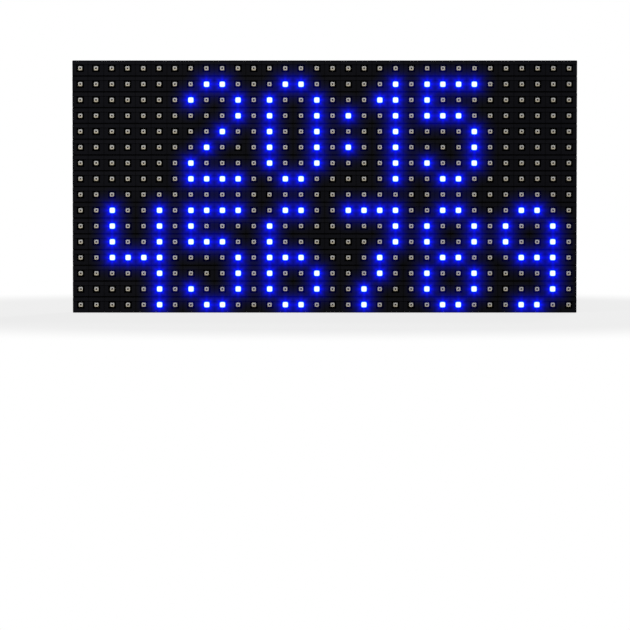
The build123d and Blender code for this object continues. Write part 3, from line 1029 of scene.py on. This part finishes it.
def moulding_finish(sizes):
    """Glass-filled black plastic with pale patches, partly its mottling and partly a painted sheen, flow
    marks and fine grain.
    It has painted highlights along the rim's inner edge and mitres and round the inserts."""
    finish = Finish("frame_plastic", Specular_IOR_Level=0.09)
    patches = finish.stretched((26, 20, 42), 4.0, 0.62)
    flow = finish.stretched((120, 60, 260), 3.0, 0.6)
    # Broad patches of painted sheen; the patches and flow noise are the plastic's own mottling
    broad_mottle_and_sheen = finish.stretched((9, 8, 12), 1.0, 0.5)
    mottled = (patches * 0.38 + flow * 0.14 + broad_mottle_and_sheen * 0.48).between(0.40, 0.62)
    plastic = finish.mix(mottled, sizes.colour, sizes.light)

    # How deep below the mounting face the painted highlights on the edges, mitres and rings reach, in
    # millimetres, how strong the last two are, and from where to where up the module and how
    # much the first ones fade
    edge_y, mitre_y, ring_y = -0.5, -3.0, -0.6
    mitre_share, ring_share = 0.13, 0.28
    fade_from, fade_to, fade = -73.0, -20.0, 0.75
    x, y, z = finish.axes()
    beyond_x = abs(x) - (HALF.x - sizes.rim_side) / MM
    beyond_z = abs(z) - (HALF.z - sizes.rim_long) / MM
    edge = abs(beyond_x.highest(beyond_z)).until(0.10, 0.32) * (y > edge_y)
    edge = edge * (1 - z.between(fade_from, fade_to) * fade) * flow.between(0.3, 0.6)
    slant = abs(beyond_x * (sizes.rim_long / sizes.rim_side) - beyond_z)
    mitre = slant.until(0.12, 0.40) * (beyond_x > 0.0) * (y > mitre_y)
    across = (abs(x) - INSERT[0] / MM) ** 2 + (abs(z) - INSERT[1] / MM) ** 2
    ring = abs(across ** 0.5 - sizes.boss / MM).until(0.10, 0.45)
    ring = ring * (y > ring_y) * flow.between(0.42, 0.62)
    # Painted highlights: the rim's inner edge, brightest along the lower rim, the mitres and the rings
    # round the inserts
    painted_highlight = edge.highest(mitre * mitre_share).highest(ring * ring_share)
    finish.set(Base_Color=finish.mix(painted_highlight, plastic, sizes.painted_highlight), Roughness=0.66 - mottled * 0.22)
    grain = finish.grain(0.45, 2.0)
    finish.bump(grain + patches * 2.5, 0.035, 0.7)
    return finish.material


def window_corners(bm):
    """The inner corners of the windows between the ribs: deep edges nearly along Y."""
    nearly = 0.99
    corners = []
    for edge in bm.edges:
        start, end = (vert.co for vert in edge.verts)
        if len(edge.link_faces) != 2 or edge.is_convex or edge.calc_face_angle() < CORNER:
            continue
        long = edge.calc_length()
        if abs(start.y - end.y) > nearly * long and long > WINDOW_DEPTH:
            corners.append(edge)
    return corners


def rib_marks(sizes):
    """The shallow recesses, lines and round marks on the ribs, as one solid to cut with."""
    tool = bmesh.new()
    depth = sizes.plate + sizes.recess_depth
    upright = Matrix.Rotation(math.pi / 2, 4, "Y")
    slots = [shift(x, 0, up * sizes.recess_z) @ upright for x in UPRIGHTS for up in (-1, 1)]
    stamp(tool, stadium(sizes.recess_width, sizes.recess_length, depth), slots)
    x, z = CROSS_MIDDLE
    lines = [shift(side * x, 0, up * z) for up in (-1, 1) for side in (1, -1)]
    stamp(tool, stadium(sizes.line_width, CROSS_LINE, depth), lines)
    x, z = BRACE_MIDDLE
    lines = [shift(side * x, 0, up * z) @ Matrix.Rotation(-side * up * BRACE_ANGLE, 4, "Y")
             for side in (-1, 1) for up in (-1, 1)]
    stamp(tool, stadium(sizes.line_width, BRACE_LINE, depth), lines)
    shallow = sizes.plate + sizes.recess_depth / 2
    spot = stadium(2 * sizes.spot, 2 * sizes.spot + 4 * MERGE, shallow)
    stamp(tool, spot, [shift(x, 0, 0) for x in UPRIGHTS])
    return tool


class LEDMODULE_OT_moulding(Operator):
    """Moulded back frame with rounded edges and recessed ribs"""

    bl_idname = "ledmodule.moulding"
    bl_label = "Back frame"

    def execute(self, context):
        sizes = context.scene.led_moulding
        bm = copied("back_frame")
        bevel(bm, window_corners(bm), sizes.fillet, 3)
        bm = cut(bm, rib_marks(sizes))
        bmesh.ops.dissolve_limit(bm, angle_limit=FLAT, verts=bm.verts[:], edges=bm.edges[:])
        bevel(bm, sharp_edges(bm), sizes.edge, 2)
        keep(bm, "back_frame_moulding", [moulding_finish(sizes)], ["back_frame"])
        return {"FINISHED"}


def board_finish(colours):
    """Green board with upright tracks, dark gaps between them, runs of vias and a few gilded pads."""
    finish = Finish("board_green", Specular_IOR_Level=0.06)
    x, _, z = finish.axes()
    wide = finish.stretched((420, 1, 9), 3.0, 0.6)
    fine = finish.stretched((1500, 1, 14), 2.0, 0.5)
    cloud = finish.stretched((330, 1, 190), 3.0, 0.6)
    tracks = (wide * 0.38 + fine * 0.38 + cloud * 0.24).between(0.34, 0.62)
    tone = finish.mix(tracks, colours.dark, colours.pale)

    # Millimetres between gaps and their length, between vias, and the length of a run of vias
    lane, lane_run = 0.85, 31
    via_x, via_z, via_run = 1.9, 1.27, 23
    # Shares of the gaps, runs of vias, vias in a run and gilded pads that are left out
    no_gap, no_run, no_via, no_pad = 0.42, 0.63, 0.45, 0.985
    runs = finish.chance((x / lane).floor(), (z / lane_run).floor()) > no_gap
    gap = abs(x.in_step(lane)).until(0.08, 0.20) * runs * 0.5
    tone = finish.mix(gap, tone, shaded(colours.dark, 0.35))
    column, row = (x / via_x).floor(), (z / via_z).floor()
    busy = finish.chance(column, (z / via_run).floor()) > no_run
    here = finish.chance(column + 0.5, row) > no_via
    gilded = finish.chance(column, row + 0.5) > no_pad
    across, along = x.in_step(via_x) * via_x, z.in_step(via_z) * via_z
    spot = ((across * across + along * along) ** 0.5).until(0.15, 0.33)
    via = spot * busy * here
    tone = finish.mix(via.lowest(1.0) * 0.85, tone, colours.via)
    finish.set(Base_Color=finish.mix(spot * gilded, tone, colours.gold), Roughness=0.36 + fine * 0.15)
    finish.bump(wide + fine + via, 0.02, 0.6)
    return finish.material


class LEDMODULE_OT_board(Operator):
    """Green finish with tracks and vias on the circuit board"""

    bl_idname = "ledmodule.board"
    bl_label = "Circuit board"

    def execute(self, context):
        dress("circuit_board", board_finish(context.scene.led_board))
        return {"FINISHED"}


def gull_wing(sizes, half_width, height):
    """A chip's lead: out of the body's side, down and along the pad."""
    neck, bend, foot_length = 0.25 * MM, 0.1 * MM, 0.75 * MM
    tip = sizes.lead_span / 2
    foot = tip - foot_length
    knee = half_width + neck
    low = sizes.pad + sizes.lead_thick
    path = [(height, half_width - bend), (height, knee), (height - bend, knee + bend),
            (low + bend, foot - bend / 2), (low, foot + bend / 2), (low, tip)]
    return ribbon(path, sizes.lead_width, sizes.lead_thick)


def solder_pad(sizes):
    """The solder under a lead's foot and beyond its tip."""
    half, behind, beyond, edge = 0.25 * MM, 1.0 * MM, 0.35 * MM, 0.02 * MM
    tip = sizes.lead_span / 2
    return block((-half, 0.0, tip - behind), (half, sizes.pad, tip + beyond), edge)


def chip_body(half_long, half_wide, base, top):
    """A chip's body, tapered from its middle, with a dimple at the first lead."""
    taper, edge = 0.15 * MM, 0.08 * MM
    dimple_radius, dimple_depth, dimple_inset = 0.45 * MM, 0.1 * MM, 0.9 * MM
    middle = (top + base) / 2
    body = block((-half_long, base, -half_wide), (half_long, top, half_wide))
    bmesh.ops.bisect_plane(body, geom=whole(body), plane_co=(0, middle, 0), plane_no=(0, 1, 0))
    ends = [vert for vert in body.verts if abs(vert.co.y - middle) > taper]
    draft = ((half_long - taper) / half_long, 1.0, (half_wide - taper) / half_wide)
    bmesh.ops.scale(body, verts=ends, vec=draft)
    bevel(body, sharp_edges(body), edge, 1)
    dimple = cylinder(dimple_radius, top - dimple_depth, top + taper, 16)
    corner = (dimple_inset - half_long, 0, dimple_inset - half_wide)
    bmesh.ops.translate(dimple, verts=dimple.verts, vec=corner)
    return cut(body, dimple)


def chip_shape(sizes, node, leads):
    """A chip with a number of leads along each side, and their solder."""
    low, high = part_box(node)
    size = high - low
    half_long, half_wide = max(size.x, size.z) / 2, min(size.x, size.z) / 2
    top, base = high.y + BOARD_BACK, low.y + BOARD_BACK
    bm = bmesh.new()
    stamp(bm, chip_body(half_long, half_wide, base, top), [Matrix()])
    places = [(i - (leads - 1) / 2) * sizes.lead_pitch for i in range(leads)]
    turn = Matrix.Rotation(math.pi, 4, "Y")
    both = [side @ shift(x) for x in places for side in (Matrix(), turn)]
    stamp(bm, gull_wing(sizes, half_wide, (top + base) / 2), both, 1)
    stamp(bm, solder_pad(sizes), both, 2)
    centre = centre_of(node)
    place = shift(centre.x, -BOARD_BACK, centre.z)
    if size.z > size.x:
        place = place @ Matrix.Rotation(math.pi / 2, 4, "Y")
    bmesh.ops.transform(bm, matrix=place, verts=bm.verts)
    return bm


class LEDMODULE_OT_chips(Operator):
    """Driver, bus and switch chips with their leads and pads"""

    bl_idname = "ledmodule.chips"
    bl_label = "Chips"

    def execute(self, context):
        sizes = context.scene.led_parts
        colours = context.scene.led_colours
        finishes = [
            black_plastic("chip_black", colours.chip, 1.2, 0.5, 0.15, 0.01),
            plain("lead_tin", colours.lead, colours.lead_pale, 0.6, 0.36, Metallic=0.4),
            metal("solder", colours.solder, 0.5),
        ]
        for node in sorted(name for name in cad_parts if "_chip" in name):
            leads = 4 if node.startswith("switch") else 8
            keep(chip_shape(sizes, node, leads), node + "_with_leads", finishes, [node])
        return {"FINISHED"}


def can_profile(radius, height):
    """The outline of a can, crimped above its foot and with a low rim round its top."""
    side = [(radius - inset * MM, up * MM) for inset, up in CAN_SIDE]
    top = [(radius - inset * MM, height - down * MM) for inset, down in CAN_TOP]
    return [(0.0, 0.0), *side, *top, (0.0, top[-1][1])]


def capped_block(tall, places):
    """Chip capacitors: a ceramic body and, slightly wider and taller, its two tinned ends."""
    half, reach, cap = 0.625 * MM, 1.0 * MM, 0.35 * MM
    slim, short, body_edge, cap_edge = half * 0.95, tall * 0.96, 0.04 * MM, 0.08 * MM
    bm = bmesh.new()
    stamp(bm, block((-slim, 0.0, cap - reach), (slim, short, reach - cap), body_edge), places)
    for near, far in ((-reach, cap - reach), (reach - cap, reach)):
        stamp(bm, block((-half, 0.0, near), (half, tall, far), cap_edge), places, 1)
    return bm


class LEDMODULE_OT_capacitors(Operator):
    """Round cans on their bases, and chip capacitors"""

    bl_idname = "ledmodule.capacitors"
    bl_label = "Capacitors"

    def execute(self, context):
        colours = context.scene.led_colours
        low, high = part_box("capacitor_cans")
        can = lathe(can_profile((high.z - low.z) / 2, high.y - low.y), 48)
        aluminium = metal("can_metal", colours.can, 0.36, 2.5, 0.2)
        keep_copies(can, "capacitor_cans", low.y, "_crimped", aluminium)

        moulded = black_plastic("can_base", colours.black, 0.8, 0.6)
        keep_softened("capacitor_bases", 0.5 * MM, "_moulded", moulded)

        low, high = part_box("chip_capacitors")
        chips = capped_block(high.y - low.y, places_of("chip_capacitors", low.y))
        finishes = [plain("ceramic", colours.ceramic, colours.ceramic_pale, 0.6, 0.45),
                    metal("end_cap_tin", colours.end_cap, 0.34)]
        keep(chips, "chip_capacitors_capped", finishes, ["chip_capacitors"])
        return {"FINISHED"}


def square_pin(width, long):
    """A square pin with a tapered tip, standing on the origin."""
    across, tip = width / math.sqrt(2), 0.75
    bm = lathe([(0.0, 0.0), (across, 0.0), (across, long - width), (across * tip, long),
                (0.0, long)], 4)
    bmesh.ops.rotate(bm, verts=bm.verts, cent=(0, 0, 0), matrix=Matrix.Rotation(math.pi / 4, 3, "Y"))
    return bm


def keep_pins(node, width, ending, finish):
    """Square pins in place of a CAD node's, as long as those."""
    low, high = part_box(node)
    keep_copies(square_pin(width, high.y - low.y), node, low.y, ending, finish)


class LEDMODULE_OT_headers(Operator):
    """Data headers and the power header"""

    bl_idname = "ledmodule.headers"
    bl_label = "Headers"

    def execute(self, context):
        shell_edge, power_edge, feet_edge, contact = 0.18 * MM, 0.25 * MM, 0.12 * MM, 0.9 * MM
        pin = context.scene.led_parts.pin
        colours = context.scene.led_colours
        black = black_plastic("header_plastic", colours.black, 1.5, 0.48, 0.2, 0.01)
        gold = metal("pin_gold", colours.pin, 0.40)
        tin = metal("contact_tin", colours.contact, 0.34)
        for use in ("input", "output"):
            keep_softened(f"{use}_header_shell", shell_edge, "_moulded", black)
            keep_pins(f"{use}_header_pins", pin, "_gilded", gold)
        keep_softened("power_header_body", power_edge, "_moulded", black)
        keep_pins("power_header_contacts", contact, "_tinned", tin)
        keep_softened("power_header_feet", feet_edge, "_tinned", tin)
        return {"FINISHED"}


class LEDMODULE_OT_inserts(Operator):
    """Brass inserts with a chamfered, threaded bore"""

    bl_idname = "ledmodule.inserts"
    bl_label = "Threaded inserts"

    def execute(self, context):
        outer, flat, lead_in = 2.75 * MM, 0.15 * MM, 0.6 * MM
        sizes = context.scene.led_parts
        low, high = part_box("brass_inserts")
        deep = high.y - low.y
        turns = int((deep - 2 * lead_in) / sizes.thread_pitch)
        profile = [(outer - flat, -deep), (outer, flat - deep), (outer, -flat), (outer - flat, 0.0),
                   (sizes.bore + lead_in, 0.0)]
        for turn in range(turns):
            start = -lead_in - turn * sizes.thread_pitch
            profile.append((sizes.bore, start))
            profile.append((sizes.bore + sizes.thread, start - sizes.thread_pitch / 2))
        profile += [(sizes.bore, -deep), (outer - flat, -deep)]
        brass = metal("brass", context.scene.led_colours.brass, 0.24, 0.8)
        keep_copies(lathe(profile, 40), "brass_inserts", 0.0, "_threaded", brass)
        return {"FINISHED"}


class LEDMODULE_OT_screws(Operator):
    """Case screws at the bottom of the pockets"""

    bl_idname = "ledmodule.screws"
    bl_label = "Case screws"

    def execute(self, context):
        head, tall, shank = 2.4 * MM, 1.7 * MM, 1.1 * MM
        point, blunt = 0.8 * MM, shank * 0.4
        slot_half, slot_reach, slot_floor = 0.3 * MM, head * 0.6, tall * 0.35
        low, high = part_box("case_screws")
        seat = high.y - tall
        tip = low.y - seat
        profile = [(0.0, tip), (blunt, tip), (shank, tip + point), (shank, 0.0)]
        profile += [(head * across, tall * up) for across, up in SCREW_HEAD]
        shape = lathe(profile, 28)
        for turn in (0, math.pi / 2):
            slot = block((-slot_reach, slot_floor, -slot_half), (slot_reach, tall * 2, slot_half))
            bmesh.ops.rotate(slot, verts=slot.verts, cent=(0, 0, 0), matrix=Matrix.Rotation(turn, 3, "Y"))
            shape = cut(shape, slot)
        # Steel darkened to paint the shade deep in the pockets
        pocket_shaded_steel = metal("screw_steel", context.scene.led_colours.pocket_shaded_steel, 0.42)
        keep_copies(shape, "case_screws", seat, "_driven", pocket_shaded_steel)
        return {"FINISHED"}


def add_bars(bm, centre, bars):
    """Adds thin printed bars round a point of the board's back."""
    base = -BOARD_BACK
    for x, z, wide, tall in bars:
        low = (centre.x + (x - wide / 2) * MM, base, centre.z + (z - tall / 2) * MM)
        high = (centre.x + (x + wide / 2) * MM, base + INK, centre.z + (z + tall / 2) * MM)
        stamp(bm, block(low, high), [Matrix()])


class LEDMODULE_OT_marks(Operator):
    """Blank sticker and the white marks printed round the parts"""

    bl_idname = "ledmodule.marks"
    bl_label = "Sticker and marks"

    def execute(self, context):
        colours = context.scene.led_colours
        paper = plain("sticker_white", colours.paper, colours.paper_pale, 3.0, 0.5, 0.1, 0.01)
        dress("blank_sticker", paper)
        white = context.scene.led_board.ink
        ink = plain("print_white", shaded(white, 0.85), white, 0.7, 0.55)
        bm = bmesh.new()
        for node in sorted(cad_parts):
            for start, bars in PRINTED.items():
                if node.startswith(start):
                    add_bars(bm, centre_of(node), bars)
        keep(bm, "printed_marks", [ink], smooth=False)
        return {"FINISHED"}


class LEDMODULE_OT_stage(Operator):
    """Floor, soft studio light and camera"""

    bl_idname = "ledmodule.stage"
    bl_label = "Stage"

    def execute(self, context):
        sizes = context.scene.led_stage
        scene = context.scene
        scene.view_settings.view_transform = "Standard"
        self.add_floor(scene, sizes)
        self.add_world(scene, sizes)
        self.add_lamp(scene, sizes, -1, sizes.front_height, sizes.front_aside)
        self.add_lamp(scene, sizes, 1, sizes.back_height, sizes.back_aside)
        self.add_camera(scene, sizes)
        return {"FINISHED"}

    def add_floor(self, scene, sizes):
        """A pale floor that the camera sees as white, with the module's soft shadow on it."""
        clouded, fade_start = 0.99, 0.6
        bm = bmesh.new()
        bmesh.ops.create_grid(bm, x_segments=1, y_segments=1, size=sizes.floor / 2)
        bmesh.ops.translate(bm, verts=bm.verts, vec=(0, 0, CAD_BOX[0].z))
        mesh = bpy.data.meshes.new("floor")
        bm.to_mesh(mesh)
        bm.free()
        finish = Finish("floor", Specular_IOR_Level=0.0, Roughness=0.9)
        cloud = finish.noise(finish.place, 2.0, 3.0)
        finish.set(Base_Color=finish.mix(cloud, shaded(sizes.white, clouded), sizes.white))
        seen = finish.node("ShaderNodeLightPath", {}, {}).outputs["Is Camera Ray"]
        white = finish.node("ShaderNodeEmission", {}, {"Color": (1, 1, 1, 1), "Strength": 1.0})
        x, y, _ = finish.axes()
        fade = sizes.fade / MM
        far = ((x * x + y * y) ** 0.5).between(fade * fade_start, fade)
        share = Value(finish, seen) * (far * sizes.shade + (1 - sizes.shade))
        values = {0: share, 1: finish.shader.outputs[0], 2: white.outputs[0]}
        both = finish.node("ShaderNodeMixShader", {}, values)
        finish.tree.links.new(both.outputs[0], finish.output.inputs["Surface"])
        mesh.materials.append(finish.material)
        floor = bpy.data.objects.new("floor", mesh)
        scene.collection.objects.link(floor)

    def add_world(self, scene, sizes):
        """A surround that is white to the camera and in reflections, and lights the module dimly."""
        world = bpy.data.worlds.new("studio")
        studio = NodeTree(world)
        path = studio.node("ShaderNodeLightPath", {}, {}).outputs
        seen = Value(studio, path["Is Camera Ray"])
        for name in ("Is Glossy Ray", "Is Transmission Ray"):
            seen = seen.highest(path[name])
        values = {"Value": seen, "To Min": sizes.ambient}
        strength = studio.node("ShaderNodeMapRange", {}, values).outputs[0]
        values = {"Color": (1, 1, 1, 1), "Strength": strength}
        background = studio.node("ShaderNodeBackground", {}, values)
        studio.node("ShaderNodeOutputWorld", {}, {"Surface": background.outputs[0]})
        scene.world = world

    def add_lamp(self, scene, sizes, side, height, aside):
        """A soft lamp in front of the module or behind it, aimed at its middle."""
        lamp = bpy.data.lights.new("key", "AREA")
        lamp.shape = "SQUARE"
        lamp.size = sizes.lamp
        lamp.energy = sizes.key
        light = bpy.data.objects.new("key", lamp)
        flat = math.cos(height) * sizes.lamp_distance
        high = math.sin(height) * sizes.lamp_distance
        light.location = (side * aside, side * flat, high)
        light.rotation_euler = (-light.location).to_track_quat("-Z", "Y").to_euler()
        scene.collection.objects.link(light)

    def add_camera(self, scene, sizes):
        """The camera, placed so that the front stands in the picture where the sizes say."""
        pixel = PITCH / sizes.dot
        distance = sizes.picture * pixel * sizes.lens / sizes.sensor
        middle = sizes.picture / 2
        aside = (middle - sizes.left) * pixel - HALF.x
        below = HALF.z - (middle - sizes.top) * pixel
        data = bpy.data.cameras.new("camera")
        data.lens = sizes.lens
        data.sensor_width = sizes.sensor
        camera = bpy.data.objects.new("camera", data)
        camera.location = (aside, -LIP_EDGE - distance, 0.0)
        camera.rotation_euler = (math.pi / 2 + math.atan2(below, distance), 0, 0)
        scene.collection.objects.link(camera)
        scene.camera = camera


GROUPS = {
    "led_mask": MaskSizes,
    "led_dots": DotSizes,
    "led_moulding": MouldingSizes,
    "led_board": BoardColours,
    "led_parts": PartSizes,
    "led_colours": PartColours,
    "led_stage": StageSizes,
}

OPERATORS = (
    LEDMODULE_OT_front_mask,
    LEDMODULE_OT_dots,
    LEDMODULE_OT_front_layer,
    LEDMODULE_OT_moulding,
    LEDMODULE_OT_board,
    LEDMODULE_OT_chips,
    LEDMODULE_OT_capacitors,
    LEDMODULE_OT_headers,
    LEDMODULE_OT_inserts,
    LEDMODULE_OT_screws,
    LEDMODULE_OT_marks,
    LEDMODULE_OT_stage,
)


class LEDMODULE_PT_sidebar(Panel):
    """Lists the pieces of the module"""

    bl_label = "LED module"
    bl_idname = "LEDMODULE_PT_sidebar"
    bl_space_type = "VIEW_3D"
    bl_region_type = "UI"
    bl_category = "LED module"

    def draw(self, context):
        for operator in OPERATORS:
            self.layout.operator(operator.bl_idname)
        for name in GROUPS:
            group = getattr(context.scene, name)
            box = self.layout.box()
            for key in group.bl_rna.properties.keys():
                if key not in ("rna_type", "name"):
                    box.prop(group, key)


def register():
    for group in GROUPS.values():
        bpy.utils.register_class(group)
    for name, group in GROUPS.items():
        setattr(bpy.types.Scene, name, PointerProperty(type=group))
    for operator in OPERATORS:
        bpy.utils.register_class(operator)
    bpy.utils.register_class(LEDMODULE_PT_sidebar)


def unregister():
    bpy.utils.unregister_class(LEDMODULE_PT_sidebar)
    for operator in reversed(OPERATORS):
        bpy.utils.unregister_class(operator)
    for name, group in GROUPS.items():
        delattr(bpy.types.Scene, name)
        bpy.utils.unregister_class(group)


def main():
    """Builds every piece in order."""
    register()
    for operator in OPERATORS:
        group, name = operator.bl_idname.split(".")
        getattr(getattr(bpy.ops, group), name)()


if __name__ == "__main__":
    main()
